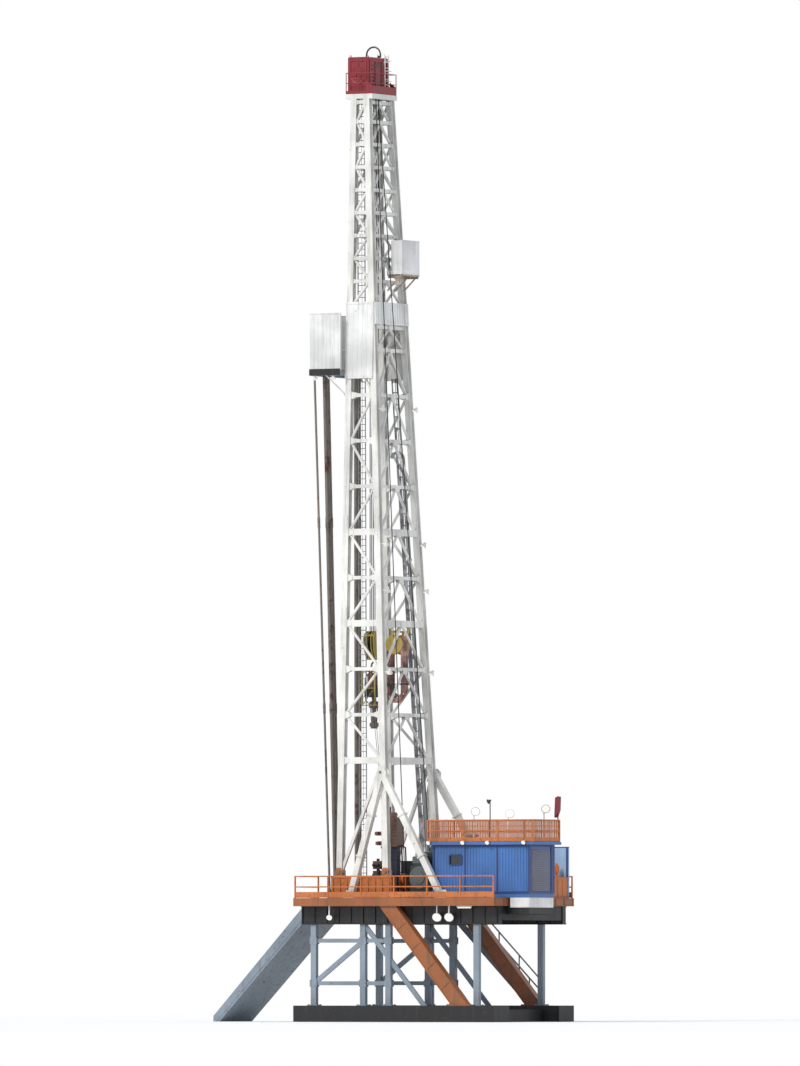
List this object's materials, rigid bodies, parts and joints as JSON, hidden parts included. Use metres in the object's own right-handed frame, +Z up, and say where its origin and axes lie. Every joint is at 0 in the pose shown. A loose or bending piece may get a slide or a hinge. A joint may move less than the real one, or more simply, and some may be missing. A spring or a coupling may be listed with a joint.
{
  "type": "oil drilling rig, half-scale model",
  "caption": "Half-scale land drilling rig: lattice mast, crown, racking board, racked pipe and travelling block over a drill floor with A-frames, dog house, pipe ramp and stair on a steel base.",
  "frame": {"origin": "middle of the rig's bounding box at ground level; the well centre is 0.585 m towards -X and 0.267 m towards -Y of it", "axes": "+Z up the mast, -X towards the pipe ramp, +X towards the dog house, +Y towards the stair"},
  "size_m": [9.47, 4.5344, 24.1829],
  "materials": {
    "white_paint": "weathered white paint",
    "white_panel": "ribbed sheet, painted white",
    "orange_paint": "worn orange paint with rust",
    "black_steel": "dark paint",
    "grey_paint": "satin grey-blue paint",
    "blue_paint": "satin blue paint",
    "pale_blue_panel": "pale blue sheet",
    "dark_red_paint": "satin dark red paint",
    "dark_machine": "oily dark paint",
    "yellow_paint": "worn yellow paint",
    "pipe_steel": "brown pipe steel",
    "wire_rope": "greased wire"
  },
  "bodies": {
    "rig": {"base_box_near": "black_steel", "base_box_far": "black_steel", "base_spreader_front": "black_steel", "base_spreader_rear": "black_steel", "side_frame_near": "grey_paint", "side_frame_far": "grey_paint", "slant_leg_near": "orange_paint", "slant_leg_far": "orange_paint", "floor_beam_1": "black_steel", "floor_beam_2": "black_steel", "floor_beam_3": "black_steel", "floor_beam_4": "black_steel", "floor_beam_5": "black_steel", "drill_floor": "orange_paint", "rotary_table": "dark_machine", "floor_rail_near": "orange_paint", "floor_rail_far": "orange_paint", "floor_rail_beyond_stair": "orange_paint", "floor_rail_rear": "orange_paint", "pipe_ramp": "grey_paint", "stair": "grey_paint", "drawworks": "dark_machine", "dog_house_floor": "blue_paint", "dog_house_walls": "blue_paint", "dog_house_roof": "blue_paint", "dog_house_roof_rail": "orange_paint", "white_locker": "white_panel", "outrigger": "black_steel", "wind_wall": "pale_blue_panel", "power_unit": "orange_paint", "mast_shoe_near": "orange_paint", "mast_shoe_far": "orange_paint", "mast_side_near": "white_paint", "mast_side_far": "white_paint", "mast_back_bracing": "white_paint", "mast_front_bracing": "white_paint", "a_frame_near": "white_paint", "a_frame_far": "white_paint", "racking_board": "grey_paint", "board_wall_near": "white_panel", "board_wall_far": "white_panel", "board_wall_front": "white_panel", "mast_panel_near": "white_panel", "mast_panel_far": "white_panel", "mast_panel_back": "white_panel", "mast_landing": "white_panel", "crown_platform": "white_paint", "crown_housing": "dark_red_paint", "crown_hoop": "dark_machine", "pipe_row_near": "pipe_steel", "pipe_stand_near": "pipe_steel", "pipe_row_far": "pipe_steel", "pipe_stand_far": "pipe_steel", "drilling_lines": "wire_rope"},
    "hoist": {"travelling_block": "yellow_paint", "top_drive": "dark_machine"}
  },
  "joints": [
    {"name": "hoist_travel", "type": "slide", "parent": "rig", "child": "hoist", "axis": [0, 0, 1], "range_m": [-3, 8.5], "deforming": ["drilling_lines"]}
  ]
}
